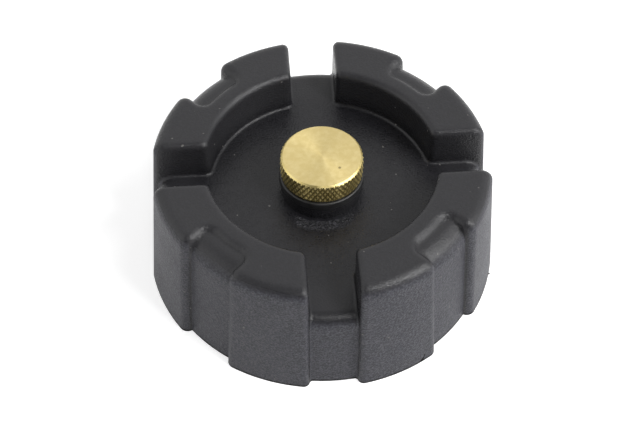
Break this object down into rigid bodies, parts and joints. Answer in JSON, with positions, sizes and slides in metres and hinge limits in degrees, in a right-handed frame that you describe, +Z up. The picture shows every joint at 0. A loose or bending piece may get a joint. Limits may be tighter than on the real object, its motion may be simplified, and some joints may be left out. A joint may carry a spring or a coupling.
{
  "type": "fuel filler cap",
  "caption": "Screw-on fuel filler cap with a castellated moulded grip and a knurled brass vent screw at its centre, sealing on a gasket inside.",
  "frame": {"origin": "middle of the skirt's bottom rim", "axes": "+Z up along the cap's axis, away from the filler neck; the four slots lie along X and Y"},
  "size_m": [0.069, 0.069, 0.0275],
  "materials": {
    "moulded_black": "black moulding with a fine grain and a soft sheen on its rounded edges",
    "black_rubber": "dull black nitrile rubber",
    "brass": "turned brass, dulled and dark in the knurl",
    "spring_steel": "dark phosphated spring steel"
  },
  "bodies": {
    "cap": {"cap_body": "moulded_black", "cap_gasket": "black_rubber", "threaded_insert": "brass"},
    "seal": {"vent_seal": "black_rubber"},
    "screw": {"vent_screw": "brass", "retaining_clip": "spring_steel"}
  },
  "joints": [
    {"name": "vent_screw_lift", "type": "slide", "parent": "cap", "child": "seal", "axis": [0, 0, 1], "range_m": [0, 0.0015]},
    {"name": "vent_screw_turn", "type": "hinge", "parent": "seal", "child": "screw", "pos_m": [0, 0, 0.0252], "axis": [0, 0, 1], "range_deg": [0, 540]}
  ],
  "couplings": [
    {"joint": "vent_screw_lift", "follows": "vent_screw_turn", "m_per_rad": 0.00015915}
  ]
}
